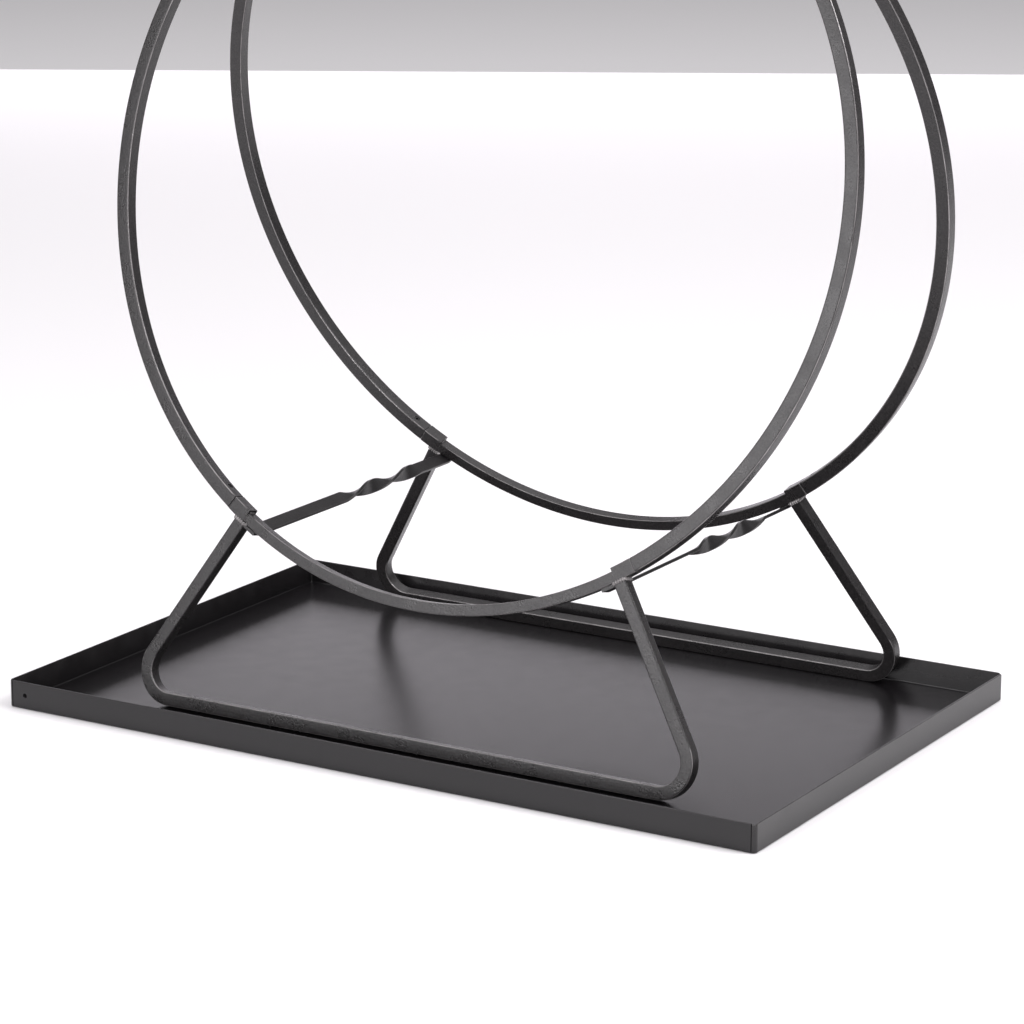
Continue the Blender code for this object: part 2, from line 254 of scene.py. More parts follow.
# %% [markdown]
# ## Round corners, and a painted highlight along them
# Drawn bar has corners rounded by a millimetre or so, and handling polishes the coat along
# them. We bevel only the long edges, then mark the very middle of each rounding with a number.
# The coat reads that number and paints a lighter, shinier line there, partly that wear and
# partly a painted highlight for the bright corner lines. The line follows the corner however
# the bar bends.
# `wear_and_highlight`. The coat reads that number, so the polish follows the corner however the bar bends.


# %% Round the long edges
def wear_highlight_layer(bm):
    """The layer that holds the marks for the lighter line, partly wear and partly a painted
    highlight. A new layer upsets held points, so it precedes a bevel.
    """
    layers = bm.verts.layers.float
    return layers.get("wear_and_highlight") or layers.new("wear_and_highlight")


def round_corners(bm, caps, radius, segments=4, sharper_than=SHARP):
    """Rounds the edges that run along a bar and marks the middle of each rounding for the
    painted highlight and wear.
    """
    wear_highlight_layer(bm)
    capped = set(caps)
    long_edges = [edge for edge in bm.edges if len(edge.link_faces) == 2
                  and not capped.intersection(edge.link_faces)
                  and edge.calc_face_angle() > sharper_than]
    rounded = bmesh.ops.bevel(bm, geom=long_edges, offset=radius, segments=segments, profile=0.5,
                              affect="EDGES", material=-1, clamp_overlap=True)
    corner_faces = set(rounded["faces"])
    inner = {v for v in rounded["verts"] if corner_faces.issuperset(v.link_faces)}
    middle = [v for v in inner if all(e.other_vert(v) in inner for e in v.link_edges)]
    for vert in middle:
        vert[wear_highlight_layer(bm)] = 1.0
    return len(middle)


def mark_wear_highlight(bm, amount):
    """Marks every vertex of a small piece for the lighter colour, partly wear and partly a
    painted highlight, for weld beads and screws.
    """
    wear_and_highlight = wear_highlight_layer(bm)
    for vert in bm.verts:
        vert[wear_and_highlight] = amount


trial = bmesh.new()
caps = carry(trial, flat_section(trial, TUBE, TUBE, on_ring(0.0)), arc(0.0, 0.2, 6))
print("a trial bar's corners have", round_corners(trial, caps, 0.001), "marked points")
trial.free()

# %% [markdown]
# ## The coat
# Powder coat is plastic baked onto steel. Close up it has a fine pebble, and a satin shine
# that is a little uneven. One flat black would look like paper, so three noises share the
# work: a fine one for the pebble and the grain, a middle one for the shine, and a wide one for
# slow changes of tone. Along the corners a lighter, more metallic and patchy line is painted
# on. It is partly where the coat is rubbed thin and the steel shows, and partly a painted
# highlight for the bright corner lines. All of them read Object coordinates, and every piece
# sits at the origin, so the pattern is one continuous coat over the whole rack.


# %% Coat material
MIDDLE_SCALE = 55.0
WIDE_SCALE = 7.0
FINE_SHARE = 0.75
LEAST_PATCH = 0.35
WEAR_HIGHLIGHT_SHINE = -0.12
PEBBLE_DEPTH = 0.0003
RESIN_IOR = 1.5


def noise_at(tree, coordinates, scale, detail, roughness=0.5):
    """A noise value; a larger scale gives a finer pattern."""
    made = tree.nodes.new("ShaderNodeTexNoise")
    made.inputs["Scale"].default_value = scale
    made.inputs["Detail"].default_value = detail
    made.inputs["Roughness"].default_value = roughness
    tree.links.new(coordinates, made.inputs["Vector"])
    return made.outputs["Fac"]


def spread(tree, value, low, high, start=0.3, end=0.7):
    """Maps a noise value onto a range."""
    made = tree.nodes.new("ShaderNodeMapRange")
    made.inputs["From Min"].default_value = start
    made.inputs["From Max"].default_value = end
    made.inputs["To Min"].default_value = low
    made.inputs["To Max"].default_value = high
    tree.links.new(value, made.inputs["Value"])
    return made.outputs["Result"]


def combine(tree, kind, first, second):
    """Arithmetic on two values, each a number or a socket."""
    made = tree.nodes.new("ShaderNodeMath")
    made.operation = kind
    for slot_number, item in enumerate((first, second)):
        if isinstance(item, float):
            made.inputs[slot_number].default_value = item
        else:
            tree.links.new(item, made.inputs[slot_number])
    return made.outputs[0]


def blend_colours(tree, share, first, second):
    """Blends two colours, each a tuple or a socket, by a share from 0 to 1."""
    made = tree.nodes.new("ShaderNodeMix")
    made.data_type = "RGBA"
    for name, colour in (("A", first), ("B", second)):
        socket = next(s for s in made.inputs if s.name == name and s.type == "RGBA")
        if isinstance(colour, tuple):
            socket.default_value = (*colour, 1.0)
        else:
            tree.links.new(colour, socket)
    tree.links.new(share, made.inputs["Factor"])
    return next(s for s in made.outputs if s.type == "RGBA")


def powder_coat(name, dark, light, polished_highlight, shine, pebble, grain=900.0, metal=0.0,
                unevenness=0.045, bare=0.0):
    """Coat with a dark-to-light grain. Marked points get a lighter, shinier colour, partly wear
    and partly a painted highlight, and `bare` sets how metallic they turn.
    """
    made = bpy.data.materials.new(name)
    made.use_nodes = True
    tree = made.node_tree
    shader = tree.nodes["Principled BSDF"]
    place = tree.nodes.new("ShaderNodeTexCoord").outputs["Object"]
    fine = noise_at(tree, place, grain, 3.0, 0.6)
    middle = noise_at(tree, place, MIDDLE_SCALE, 3.0)
    wide = noise_at(tree, place, WIDE_SCALE, 2.0)
    tone = combine(tree, "ADD", spread(tree, fine, 0.0, FINE_SHARE),
                   spread(tree, wide, 0.0, 1.0 - FINE_SHARE))
    coat = blend_colours(tree, tone, dark, light)
    # Painted highlight, partly wear: marked points blend toward the lighter colour, shine more
    # and turn more metallic.
    mark = tree.nodes.new("ShaderNodeAttribute")
    mark.attribute_name = "wear_and_highlight"
    patchy = spread(tree, middle, LEAST_PATCH, 1.0)
    worn_and_highlit = combine(tree, "MULTIPLY", mark.outputs["Fac"], patchy)
    colour = blend_colours(tree, worn_and_highlit, coat, polished_highlight)
    tree.links.new(colour, shader.inputs["Base Color"])
    satin = spread(tree, middle, shine - unevenness, shine + unevenness)
    highlight_shine = spread(tree, worn_and_highlit, 0.0, WEAR_HIGHLIGHT_SHINE, 0.0, 1.0)
    tree.links.new(combine(tree, "ADD", satin, highlight_shine), shader.inputs["Roughness"])
    steel = spread(tree, worn_and_highlit, metal, max(metal, bare), 0.0, 1.0)
    tree.links.new(steel, shader.inputs["Metallic"])
    shader.inputs["IOR"].default_value = RESIN_IOR
    bump = tree.nodes.new("ShaderNodeBump")
    bump.inputs["Strength"].default_value = pebble
    bump.inputs["Distance"].default_value = PEBBLE_DEPTH
    tree.links.new(fine, bump.inputs["Height"])
    tree.links.new(bump.outputs["Normal"], shader.inputs["Normal"])
    return made


# The third colour of each finish is the lighter one painted where points are marked: partly
# wear, partly a painted highlight.
bar_coat = powder_coat("satin_on_bar", (0.003, 0.003, 0.003), (0.034, 0.031, 0.032),
                       (0.46, 0.44, 0.44), 0.29, 0.80, grain=620.0, bare=0.80)
tray_coat = powder_coat("satin_on_sheet", (0.004, 0.0035, 0.004), (0.008, 0.007, 0.008),
                        (0.05, 0.047, 0.048), 0.26, 0.04, grain=700.0, unevenness=0.010)
flat_coat = powder_coat("satin_on_flat", (0.003, 0.003, 0.003), (0.020, 0.018, 0.019),
                        (0.16, 0.15, 0.15), 0.33, 0.60, grain=620.0, bare=0.30)
oxide = powder_coat("black_oxide", (0.020, 0.020, 0.021), (0.050, 0.049, 0.048),
                    (0.09, 0.09, 0.09), 0.34, 0.10, grain=1500.0, metal=0.9)
print("finishes:", bar_coat.name, tray_coat.name, flat_coat.name, oxide.name)

# %% [markdown]
# ## Hanging a finished piece on the frame
# Every piece is drawn in place and its object stays at the origin. It then rides on the body
# that carries it, stands for its plain solid, and takes the finish it is given.


# %% Finish a piece
CRISP = math.radians(40)
MADE = []


def add_mesh(bm, name, look):
    """Turns a mesh in the making into an object of one material."""
    mesh = bpy.data.meshes.new(name)
    bm.to_mesh(mesh)
    bm.free()
    mesh.materials.append(look)
    return add_object(name, mesh)


def shade(mesh):
    """Smooth shading, apart from edges too sharp to be a rounding."""
    mesh.shade_smooth()
    mesh.set_sharp_from_angle(angle=CRISP)


def finish_piece(bm, name, look, body="rack", node=None, place=None):
    """Makes a named piece that rides on a body and may stand for a solid."""
    if place is not None:
        bmesh.ops.transform(bm, matrix=place, verts=bm.verts[:])
    bmesh.ops.recalc_face_normals(bm, faces=bm.faces[:])
    piece = add_mesh(bm, name, look)
    shade(piece.data)
    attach(piece, body)
    if node:
        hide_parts(node)
    MADE.append(piece)
    return piece


def compare_boxes(piece, node):
    """Prints how far a finished piece's box is from its solid's, in millimetres."""
    low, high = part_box(node)
    off = 0.0
    for i in range(3):
        values = [vert.co[i] for vert in piece.data.vertices]
        off = max(off, abs(min(values) - low[i]), abs(max(values) - high[i]))
    faces = len(piece.data.polygons)
    print(f"{piece.name}: {faces} faces, {off * 1000:.2f} mm from its solid's box")


# %% [markdown]
# ## The tray
# The tray is one sheet, folded up on four sides and closed at the corners. We make the outside
# as a box without a lid, round the corners and the fold, and then give it the sheet's
# thickness inwards. Modelling the inside first would leave the outer size to chance, and that
# is the one that matters.

# %% Tray
TRAY_CORNER = 0.004
TRAY_FOLD = 0.0012
INSIDE_FOLD = 0.0010
RIM_ROUND = 0.0004
# How far the rim goes toward the tray's lighter colour: partly wear, partly a painted highlight
# along the rim.
RIM_WEAR_HIGHLIGHT = 0.5
CORNER_DIP = 0.0024
SEAM_WIDTH = 0.0008
SEAM_DEPTH = 0.0009
HOLE_RADIUS = 0.0022
HOLE_INSET = 0.018
TRAY_WIDTH = (TRAY_FRONT_ROOM + TRAY_REAR_ROOM + 2 * TRAY_SHEET
              + 2 * (FRAME_SPREAD + FOOT_BAR / 2 * math.cos(LEAN) - CHAMFER * math.sin(LEAN)))


def tray_shell():
    """Folded sheet: outside box, rounded corners and fold, then the wall inwards."""
    bm = bmesh.new()
    size = Matrix.Diagonal((TRAY_LENGTH, TRAY_WIDTH, TRAY_HEIGHT, 1.0))
    middle = Matrix.Translation((0.0, 0.0, TRAY_HEIGHT / 2))
    bmesh.ops.create_cube(bm, size=1.0, matrix=middle @ size)
    upright = [e for e in bm.edges if abs(e.verts[0].co.z - e.verts[1].co.z) > TRAY_HEIGHT / 2]
    bmesh.ops.bevel(bm, geom=upright, offset=TRAY_CORNER, segments=8, profile=0.5,
                    affect="EDGES", material=-1)
    under = [e for e in bm.edges if max(v.co.z for v in e.verts) < TRAY_HEIGHT / 2]
    bmesh.ops.bevel(bm, geom=under, offset=TRAY_FOLD, segments=4, profile=0.5,
                    affect="EDGES", material=-1)
    bmesh.ops.recalc_face_normals(bm, faces=bm.faces[:])
    lid = [f for f in bm.faces if min(v.co.z for v in f.verts) > TRAY_HEIGHT - NEAR]
    bmesh.ops.inset_region(bm, faces=lid, thickness=TRAY_SHEET, use_even_offset=True)
    sunk = extrude(bm, lid)[1]
    bmesh.ops.translate(bm, verts=sunk, vec=(0.0, 0.0, TRAY_SHEET - TRAY_HEIGHT))
    bmesh.ops.delete(bm, geom=lid, context="FACES")
    return bm


def soften_tray(bm):
    """Rounds the rim and the fold inside, and marks the rim for the lighter colour: partly wear,
    partly a painted highlight.
    """
    wear_and_highlight = wear_highlight_layer(bm)
    bmesh.ops.recalc_face_normals(bm, faces=bm.faces[:])
    inside = [e for e in bm.edges if all(abs(v.co.z - TRAY_SHEET) < NEAR for v in e.verts)]
    bmesh.ops.bevel(bm, geom=inside, offset=INSIDE_FOLD, segments=3, profile=0.5,
                    affect="EDGES", material=-1)
    rim = [e for e in bm.edges if min(v.co.z for v in e.verts) > TRAY_HEIGHT - NEAR
           and e.calc_face_angle() > SHARP]
    rounded = bmesh.ops.bevel(bm, geom=rim, offset=RIM_ROUND, segments=3, profile=0.5,
                              affect="EDGES", material=-1)
    for vert in rounded["verts"]:
        vert[wear_and_highlight] = RIM_WEAR_HIGHLIGHT


def dip_corners(bm):
    """Lowers the rim a little round each corner, where the sheet is cut back for the folds."""
    for vert in bm.verts:
        from_end = TRAY_LENGTH / 2 - abs(vert.co.x)
        from_side = TRAY_WIDTH / 2 - abs(vert.co.y)
        if vert.co.z > TRAY_HEIGHT / 2 and from_end < TRAY_CORNER and from_side < TRAY_CORNER:
            vert.co.z -= CORNER_DIP * (1.0 - max(from_end, from_side) / TRAY_CORNER)


tray_mesh = tray_shell()
soften_tray(tray_mesh)
dip_corners(tray_mesh)
tray = finish_piece(tray_mesh, "tray_pan", tray_coat, body="tray", node="tray")
compare_boxes(tray, "tray")

# %% [markdown]
# ## A hole through a wall
# The small hole near the left end of the front lip, and the screws' holes in the tubes, go
# through a wall. A Boolean with a short rod does this cleanly, and it is applied at once so
# that the rod can go.


# %% Cut with a shape, or unite with one
def rod_mesh(radius, length, at, sides=32):
    """Closed rod along a station's Z, centred on it."""
    bm = bmesh.new()
    bmesh.ops.create_cone(bm, cap_ends=True, segments=sides, radius1=radius, radius2=radius,
                          depth=length, matrix=at)
    return bm


def reshape(piece, tool_bm, operation="DIFFERENCE"):
    """Takes a closed shape out of a finished piece, or unites it, keeping material and marks."""
    bmesh.ops.recalc_face_normals(tool_bm, faces=tool_bm.faces[:])
    tool = add_mesh(tool_bm, "tool", piece.data.materials[0])
    change = piece.modifiers.new("reshape", "BOOLEAN")
    change.operation, change.solver, change.object = operation, "EXACT", tool
    bpy.context.view_layer.update()
    graph = bpy.context.evaluated_depsgraph_get()
    result = bpy.data.meshes.new_from_object(piece.evaluated_get(graph), depsgraph=graph)
    piece.modifiers.clear()
    piece.data = result
    bpy.data.objects.remove(tool, do_unlink=True)
    shade(result)


hole_place = Vector((HOLE_INSET - TRAY_LENGTH / 2, (TRAY_SHEET - TRAY_WIDTH) / 2,
                     TRAY_HEIGHT / 2))
reshape(tray, rod_mesh(HOLE_RADIUS, 4 * TRAY_SHEET, station(hole_place, X, -Z, Y)))
print("tray after its hole:", len(tray.data.polygons), "faces")

# %% [markdown]
# ## The open corner seams
# The sides are folded up from one sheet, so they only meet at the corners. That leaves a fine
# dark line up each corner, on the front or back lip, where the end lip's edge butts against
# it.

# %% Corner seams
for across in (-1, 1):
    for along in (-1, 1):
        slot_bm = bmesh.new()
        middle = Vector((across * (TRAY_LENGTH / 2 - TRAY_CORNER), along * TRAY_WIDTH / 2,
                         TRAY_HEIGHT / 2 + TRAY_FOLD))
        size = Matrix.Diagonal((SEAM_WIDTH, 2 * SEAM_DEPTH, TRAY_HEIGHT, 1.0))
        bmesh.ops.create_cube(slot_bm, size=1.0, matrix=Matrix.Translation(middle) @ size)
        reshape(tray, slot_bm)
print("tray after its seams:", len(tray.data.polygons), "faces")

# %% [markdown]
# ## The feet
# Each foot is one bar bent twice: leg, bend, bottom, bend, leg. The legs point at the hoop's
# centre, so the hoop bears straight down them. The path is a list of stations, close together
# on the bends.

# %% Feet
BEND_MIDDLE = FOOT_BEND - FOOT_BAR / 2
BEND_X = ((RING_CENTRE - FOOT_BEND) * math.sin(LEG_LEAN) - BEND_MIDDLE) / math.cos(LEG_LEAN)
BAR_ROUND = 0.0014


def foot_stations(steps=24):
    """Stations along the foot's centre line, from the left leg's top to the right leg's top."""
    turn = math.pi / 2 + LEG_LEAN
    found = []
    for side in (-1, 1):
        hub = Vector((side * BEND_X, 0.0, FOOT_BEND))
        first, last = sorted((0.0, side * turn))
        for i in range(steps + 1):
            found.append(around(hub, first + (last - first) * i / steps, BEND_MIDDLE))
    tops = [on_ring(side * LEG_LEAN, RING_RADIUS + GAP).translation for side in (-1, 1)]
    start = Matrix.Translation(tops[0]) @ found[0].to_3x3().to_4x4()
    end = Matrix.Translation(tops[1]) @ found[-1].to_3x3().to_4x4()
    return [start] + found + [end]


for word, side in SIDES.items():
    foot = bmesh.new()
    route = foot_stations()
    caps = carry(foot, flat_section(foot, FOOT_BAR, FOOT_BAR, route[0]), route)
    round_corners(foot, caps, BAR_ROUND)
    node = "foot_" + word
    compare_boxes(finish_piece(foot, node + "_bar", bar_coat, node=node,
                               place=stand_up(side)), node)

# %% [markdown]
# ## The lower arcs
# Between the legs the hoop is solid square bar, rolled to the same outer circle as the tube
# above. It is thinner than the tube, so its inner side sits a little lower, and that step
# shows at the joints.

# %% Lower arcs
ARC_ROUND = 0.0009
ARC_STEPS = 72

for word, side in SIDES.items():
    lower = bmesh.new()
    reach = BLOCK_START - GAP / RING_MIDDLE
    route = arc(-reach, reach, ARC_STEPS, RING_RADIUS - ARC_BAR / 2)
    caps = carry(lower, flat_section(lower, ARC_BAR, ARC_BAR, route[0]), route)
    round_corners(lower, caps, ARC_ROUND)
    node = "lower_arc_" + word
    compare_boxes(finish_piece(lower, node + "_bar", bar_coat, node=node,
                               place=stand_up(side)), node)

# %% [markdown]
# ## The joint blocks
# A block sits over each leg, and a peg on its far end enters the tube, so the upper hoop can
# come off for packing. Block and peg are one machined piece: the block's end is inset to the
# peg's size, and the inset face is carried on. The block's end edges are broken, which gives
# the seam its bright line.

# %% Joint blocks
BLOCK_ROUND = 0.0009
BLOCK_STEPS = 8


def joint_mesh(hand):
    """Block from its near end to its far one, and the peg that goes on from its inset end."""
    bm = bmesh.new()
    route = arc(hand * BLOCK_START, hand * BLOCK_END, BLOCK_STEPS)
    caps = carry(bm, flat_section(bm, TUBE, TUBE, route[0]), route)
    near_cap, far_cap = caps[:1], caps[1:]
    bmesh.ops.inset_region(bm, faces=far_cap, thickness=(TUBE - PEG_SIZE) / 2,
                           use_even_offset=True)
    peg_route = arc(hand * BLOCK_END, hand * (BLOCK_END + PEG_ANGLE), BLOCK_STEPS)
    peg_cap = carry(bm, far_cap, peg_route, closed_start=False)
    round_corners(bm, near_cap + peg_cap, BLOCK_ROUND)
    return bm


JOINTS = {}
for label, side, hand in four_corners():
    node = "joint_" + label
    JOINTS[label] = finish_piece(joint_mesh(hand), node + "_block", bar_coat, node=node,
                                 place=stand_up(side))
    compare_boxes(JOINTS[label], node)

# %% [markdown]
# ## The upper hoops
# The upper half of each hoop is two arcs of square tube. A square tube is drawn as its true
# section, a border with a hole, so that the open ends show a wall. Many short steps keep the
# outline round.

# %% Upper hoops
TUBE_ROUND = 0.0016
TUBE_STEPS = 160

HOOPS = {}
for label, side, hand in four_corners():
    node = "hoop_" + label
    tube = bmesh.new()
    route = arc(hand * TUBE_START, hand * TUBE_END, TUBE_STEPS)
    caps = carry(tube, wall_section(tube, TUBE, TUBE_WALL, route[0]), route)
    round_corners(tube, caps, TUBE_ROUND)
    HOOPS[label] = finish_piece(tube, node + "_tube", bar_coat, node=node,
                                place=stand_up(side))
    compare_boxes(HOOPS[label], node)

# %% [markdown]
# ## The top coupler
# Where the hoops meet, one block carries four pegs and ties the frames together. Its end face
# is the outline of both tubes and the wedge between them, so it continues both hoops without a
# step. Each peg starts a little inside the block and is united with it, so that no inner face
# is left.

# %% Top coupler
PEG_ROOT = 0.001
PEG_ROUND = 0.00045


def coupler_mesh():
    """The block without its pegs: one outline, carried along X."""
    bm = bmesh.new()
    half = TUBE / 2
    corners = []
    for side in SIDES.values():
        place = stand_up(side)
        for across, up in ((-half, RING_TOP - TUBE), (half, RING_TOP - TUBE), (-half, RING_TOP),
                           (half, RING_TOP)):
            corners.append(place @ Vector((0.0, across, up)))
    front, rear = corners[:4], corners[4:]
    loop = [front[0], front[1], rear[1], rear[0], rear[2], rear[3], front[3], front[2]]
    shift = X * (COUPLER_LENGTH / 2)
    start = [bm.faces.new([bm.verts.new(point - shift) for point in loop])]
    caps = carry(bm, start, [Matrix.Identity(4), Matrix.Translation(2 * shift)])
    round_corners(bm, caps, BLOCK_ROUND)
    return bm


coupler = finish_piece(coupler_mesh(), "top_coupler_block", bar_coat, node="top_coupler")
for side in SIDES.values():
    for hand in HANDS.values():
        peg = bmesh.new()
        near = math.pi - (COUPLER_LENGTH / 2 - PEG_ROOT) / RING_MIDDLE
        far = math.pi - COUPLER_LENGTH / 2 / RING_MIDDLE - PEG_ANGLE
        route = arc(hand * near, hand * far, BLOCK_STEPS)
        caps = carry(peg, flat_section(peg, PEG_SIZE, PEG_SIZE, route[0]), route)
        round_corners(peg, caps, PEG_ROUND, segments=2)
        bmesh.ops.transform(peg, matrix=stand_up(side), verts=peg.verts[:])
        reshape(coupler, peg, "UNION")
compare_boxes(coupler, "top_coupler")

# %% [markdown]
# ## The grub screws
# A small socket screw on the hoop's inner side pins each tube to its peg, sunk just below the
# face. The rim is rounded and the hexagon is a true hole, because a screw is read by its
# socket. Its hole is bored through the tube and through the peg behind it.

# %% Grub screws
SCREW_ROUND = 0.0004
# How far each screw goes toward its lighter colour: partly wear, partly a painted highlight.
SCREW_WEAR_HIGHLIGHT = 0.5


def screw_mesh(at):
    """Grub screw along a station's Z, its socket end at the station."""
    body = at @ Matrix.Translation((0.0, 0.0, -SCREW_LENGTH / 2))
    bm = rod_mesh(SCREW_RADIUS, SCREW_LENGTH, body, sides=40)
    bmesh.ops.recalc_face_normals(bm, faces=bm.faces[:])
    rims = [e for e in bm.edges if e.calc_face_angle() > SHARP]
    bmesh.ops.bevel(bm, geom=rims, offset=SCREW_ROUND, segments=3, profile=0.5,
                    affect="EDGES", material=-1)
    mark_wear_highlight(bm, SCREW_WEAR_HIGHLIGHT)
    return bm


def screw_station(angle):
    """On the hoop's inner face, local Z pointing to the hoop's centre."""
    ring = on_ring(angle, RING_RADIUS - TUBE + SCREW_SINK)
    out, along = ring.col[0].xyz, ring.col[2].xyz
    return station(ring.translation, along, Y, -out)


def fit_screw(node, seat, bored):
    """Makes a screw at its seat and bores its hole through the pieces it passes."""
    screw = finish_piece(screw_mesh(seat), node + "_grub", oxide, node=node)
    reshape(screw, rod_mesh(SOCKET_RADIUS, 2 * SOCKET_DEPTH, seat, sides=6))
    deep = seat @ Matrix.Translation((0.0, 0.0, -SCREW_LENGTH / 2))
    for piece in bored:
        reshape(piece, rod_mesh(SCREW_RADIUS + SCREW_PLAY, SCREW_LENGTH + 4 * TUBE_WALL, deep))
    compare_boxes(screw, node)


for label, side, hand in four_corners():
    inset = SCREW_SPOT / RING_MIDDLE
    low, top = (stand_up(side) @ screw_station(hand * angle)
                for angle in (TUBE_START + inset, TUBE_END - inset))
    fit_screw("screw_" + label + "_low", low, (HOOPS[label], JOINTS[label]))
    fit_screw("screw_" + label + "_top", top, (HOOPS[label], coupler))

# %% [markdown]
# ## The twisted crossbars
# A flat bar under both hoops ties the frames at each pair of legs. Its ends lie flat on the
# arcs, so they are set to the lean, and it makes one full turn between. Turning the station as
# it travels gives a clean twist; a Simple Deform would also turn the pads. The twist bends the
# broad faces a little, so only edges much sharper than that count as its corners.

# %% Crossbars
FLAT_ROUND = 0.0006
FLAT_SHARP = math.radians(70)
FLAT_ANGLE = LEG_LEAN - (FOOT_BAR / 2 + GAP + FLAT_WIDTH / 2) / RING_RADIUS


def crossbar_stations(hand, bend_steps=8, twist_steps=96):
    """Pad, bend, straight with its twist, bend and pad, from the front frame to the rear one."""
    place = stand_up(SIDES["front"])
    pad_end = place @ on_ring(hand * FLAT_ANGLE, RING_RADIUS + GAP + FLAT_THICKNESS / 2)
    out, inwards, along = (pad_end.col[i].xyz for i in range(3))
    first = station(pad_end.translation - inwards * ARC_BAR / 2, along, out, inwards)
    found = [first, Matrix.Translation(inwards * ARC_BAR) @ first]
    tip = found[-1].translation
    hub = tip + X.cross(inwards) * FLAT_BEND
    for i in range(1, bend_steps + 1):
        turn = Matrix.Rotation(LEAN * i / bend_steps, 4, "X")
        found.append(Matrix.Translation(hub) @ turn @ Matrix.Translation(-hub) @ found[1])
    straight = found[-1]
    reach = 2 * (RACK_SHIFT - hub.y)
    for i in range(twist_steps + 1):
        share = TWIST_START + (TWIST_END - TWIST_START) * i / twist_steps
        roll = Matrix.Rotation(2 * math.pi * TWIST_TURNS * i / twist_steps, 4, "Y").to_3x3()
        turned = (roll @ straight.to_3x3()).to_4x4()
        found.append(Matrix.Translation(straight.translation + Y * reach * share) @ turned)
    rear_hub = hub + Y * reach
    level = Matrix.Translation(Y * reach) @ straight
    for i in range(bend_steps + 1):
        turn = Matrix.Rotation(LEAN * i / bend_steps, 4, "X")
        found.append(Matrix.Translation(rear_hub) @ turn
                     @ Matrix.Translation(-rear_hub) @ level)
    found.append(Matrix.Translation(found[-1].col[2].xyz * ARC_BAR) @ found[-1])
    return found


for hand_word, hand in HANDS.items():
    node = "crossbar_" + hand_word
    bar = bmesh.new()
    route = crossbar_stations(hand)
    caps = carry(bar, flat_section(bar, FLAT_WIDTH, FLAT_THICKNESS, route[0]), route)
    round_corners(bar, caps, FLAT_ROUND, sharper_than=FLAT_SHARP)
    compare_boxes(finish_piece(bar, node + "_flat", flat_coat, node=node), node)

# %% [markdown]
# ## The weld beads
# A weld bead is a row of small overlapping pools, so its section swells and shrinks along its
# length. We carry a round section and scale it at each station. The coat over it is thick, so
# the ripple is soft. Each bead is also marked toward the lighter colour, partly wear and partly
# a painted highlight, which makes the beads the brightest points on the black steel.

# %% Weld beads
LEG_BEAD = 0.00176
PAD_BEAD = 0.00088
BUTT_BEAD = 0.0008
SMALL_PITCH, SMALL_RIPPLE = 0.0016, 0.16
LEG_PITCH, LEG_RIPPLE = 0.0024, 0.22
TAPER_POINTS = 4
TAPER_END = 0.25
LEG_CORNER = 0.0012
POINT_SPACING = 0.0004
LEG_BEAD_LIFT = 0.0004
PAD_BEAD_INSET = 0.001
BUTT_BEAD_INSET = 0.0012
BUTT_BEAD_LIFT = 0.0001
# How far each bead goes toward the lighter colour: partly wear, partly a painted highlight.
LEG_BEAD_WEAR_HIGHLIGHT = 0.8
SMALL_BEAD_WEAR_HIGHLIGHT = 0.3


def weld_line(bm, points, radius, pitch=SMALL_PITCH, ripple=SMALL_RIPPLE):
    """A rippled bead through points, tapered at both ends. Points are close together."""
    travelled, stations = 0.0, []
    for i, point in enumerate(points):
        ahead = (points[min(i + 1, len(points) - 1)] - points[max(i - 1, 0)]).normalized()
        if i:
            travelled += (point - points[i - 1]).length
        side_way = ahead.orthogonal().normalized()
        if stations:
            before = stations[-1].col[0].xyz
            side_way = (before - ahead * before.dot(ahead)).normalized()
        share = min(min(i, len(points) - 1 - i) / TAPER_POINTS, 1.0)
        taper = TAPER_END + (1.0 - TAPER_END) * math.sin(share * math.pi / 2)
        size = radius * taper * (1.0 + ripple * math.sin(2 * math.pi * travelled / pitch))
        at = station(point, side_way, ahead.cross(side_way), ahead)
        stations.append(at @ Matrix.Diagonal((size, size, size, 1.0)))
    carry(bm, round_section(bm, 1.0, stations[0]), stations)


def between(first, last, steps=24):
    """Evenly spaced points on a straight line."""
    return [first.lerp(last, i / steps) for i in range(steps + 1)]


def leg_weld(hand):
    """Fillet round the top of a leg, where it meets the block above."""
    bm = bmesh.new()
    at = on_ring(hand * LEG_LEAN, RING_RADIUS + GAP)
    reach = FOOT_BAR / 2 - LEG_CORNER
    out, inwards, along = (at.col[i].xyz for i in range(3))
    outline = []
    for i, (x_way, y_way) in enumerate(((1, 1), (-1, 1), (-1, -1), (1, -1))):
        for step in range(5):
            turn = math.pi / 2 * (i + step / 4)
            x = reach * x_way + LEG_CORNER * math.cos(turn)
            y = reach * y_way + LEG_CORNER * math.sin(turn)
            outline.append(at.translation + along * x + inwards * y + out * LEG_BEAD_LIFT)
    outline.append(outline[0])
    points = []
    for first, last in zip(outline, outline[1:]):
        steps = max(1, round((last - first).length / POINT_SPACING))
        points += between(first, last, steps)[:-1]
    weld_line(bm, points, LEG_BEAD, LEG_PITCH, LEG_RIPPLE)
    mark_wear_highlight(bm, LEG_BEAD_WEAR_HIGHLIGHT)
    return bm


def pad_weld(hand):
    """Two short beads along the sides of a crossbar's pad, on the arc's outer side."""
    bm = bmesh.new()
    at = on_ring(hand * FLAT_ANGLE, RING_RADIUS + GAP)
    inwards, along = at.col[1].xyz, at.col[2].xyz
    reach = inwards * (ARC_BAR / 2 - PAD_BEAD_INSET)
    for way in (-1, 1):
        middle = at.translation + along * way * FLAT_WIDTH / 2
        weld_line(bm, between(middle - reach, middle + reach), PAD_BEAD)
    mark_wear_highlight(bm, SMALL_BEAD_WEAR_HIGHLIGHT)
    return bm


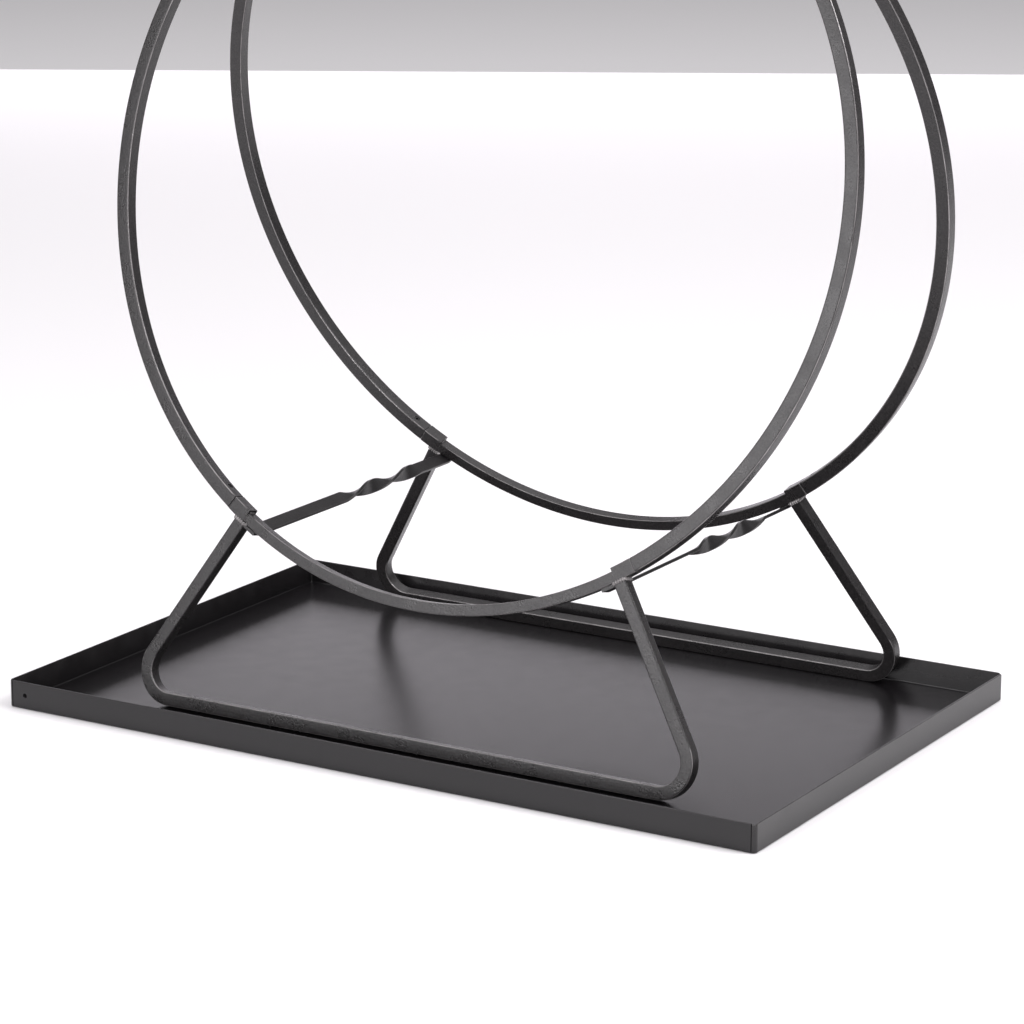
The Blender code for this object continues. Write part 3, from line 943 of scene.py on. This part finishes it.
def butt_weld(hand):
    """Low beads across three faces of the lower arc where it meets the block."""
    bm = bmesh.new()
    at = on_ring(hand * (BLOCK_START - GAP / 2 / RING_MIDDLE), RING_RADIUS - ARC_BAR / 2)
    out, inwards = at.col[0].xyz, at.col[1].xyz
    reach = ARC_BAR / 2 - BUTT_BEAD_INSET
    surface = ARC_BAR / 2 + BUTT_BEAD_LIFT
    for outwards, across in ((-inwards, out), (inwards, out), (-out, inwards)):
        middle = at.translation + outwards * surface
        weld_line(bm, between(middle - across * reach, middle + across * reach), BUTT_BEAD)
    mark_wear_highlight(bm, SMALL_BEAD_WEAR_HIGHLIGHT)
    return bm


WELDS = {"leg": (leg_weld, "foot_coat"), "pad": (pad_weld, "crossbar_coat"),
         "butt": (butt_weld, "arc_coat")}
for kind, (draw, slot) in WELDS.items():
    for label, side, hand in four_corners():
        finish_piece(draw(hand), "weld_" + kind + "_" + label, bar_coat,
                     place=stand_up(side))
print("weld beads:", 4 * len(WELDS))

# %% [markdown]
# ## Keeping the flat faces flat
# Smooth shading averages the faces round a corner, so a wide flat face next to a small
# rounding is shaded as if it bulged, and square bar looks like a round one. Weighing each face
# by its area keeps the broad faces true and leaves all of the turn to the rounding, where the
# bright line belongs.

# %% Weigh the faces
AREA_WEIGHT = 50

for piece in MADE:
    weigh = piece.modifiers.new("weigh", "WEIGHTED_NORMAL")
    weigh.mode, weigh.weight, weigh.keep_sharp = "FACE_AREA", AREA_WEIGHT, True
print("faces weighed on", len(MADE), "pieces")

# %% [markdown]
# ## The floor
# A plain pale sheet of paper, a hair below the tray so that the two never share a plane.

# %% Floor
PAPER_COLOUR = (0.88, 0.872, 0.88, 1.0)
PAPER_ROUGHNESS = 0.9
PAPER_DROP = 0.0005
FLOOR_REACH = 12.0

paper = bpy.data.materials.new("paper")
paper.use_nodes = True
paper_shader = paper.node_tree.nodes["Principled BSDF"]
paper_shader.inputs["Base Color"].default_value = PAPER_COLOUR
paper_shader.inputs["Roughness"].default_value = PAPER_ROUGHNESS
floor_bm = bmesh.new()
bmesh.ops.create_grid(floor_bm, x_segments=1, y_segments=1, size=FLOOR_REACH)
floor = add_mesh(floor_bm, "floor", paper)
floor.location.z = -PAPER_DROP
print("floor lies at z =", round(floor.location.z, 4))

# %% [markdown]
# ## The light
# Black steel shows its shape only by what it reflects, so what stands round it matters more
# than how bright the lamps are. A wide ceiling and a low backdrop give the upright and the
# level faces a soft grey, and a box in front keeps the lip from going black. Two small bright
# panels, at the right and in front, are the ones that the rounded corners pick up as thin
# bright lines.

# %% Lights
PALE = (1.0, 0.98, 1.0)
COOL = (0.98, 0.93, 1.0)
ROOM_GLOW = 0.22

room = bpy.data.worlds.new("room")
bpy.context.scene.world = room
room.use_nodes = True
backing = room.node_tree.nodes["Background"]
backing.inputs["Color"].default_value = (*PALE, 1.0)
backing.inputs["Strength"].default_value = ROOM_GLOW


def soft_panel(name, place, target, width, height, glow, colour=PALE):
    """A glowing panel. Its glow is how bright it looks, so its power follows from its area."""
    lamp = bpy.data.lights.new(name, "AREA")
    lamp.shape = "RECTANGLE"
    lamp.size, lamp.size_y = width, height
    lamp.energy = math.pi * width * height * glow
    lamp.color = colour
    holder = add_object(name, lamp)
    holder.location = place
    aim = Vector(target) - Vector(place)
    holder.rotation_euler = aim.to_track_quat("-Z", "Y").to_euler()


soft_panel("ceiling", (0.4, 0.0, 5.0), (0.4, 0.0, 0.0), 9.0, 9.0, 1.30)
soft_panel("backdrop", (-2.0, 3.6, 0.72), (0.0, 0.0, 0.3), 4.2, 1.44, 1.20, colour=COOL)
soft_panel("front_box", (-1.2, -3.3, 1.2), (0.2, 0.0, 0.3), 2.0, 1.7, 5.2)
soft_panel("right_key", (2.1, 0.5, 2.4), (0.5, 0.0, 0.0), 1.4, 1.4, 9.0)
soft_panel("edge_key", (2.2, -3.5, 1.8), (0.0, 0.0, 0.3), 0.7, 0.7, 22.0)
bpy.context.scene.view_settings.view_transform = "Standard"
print("panels:", len(bpy.data.lights))
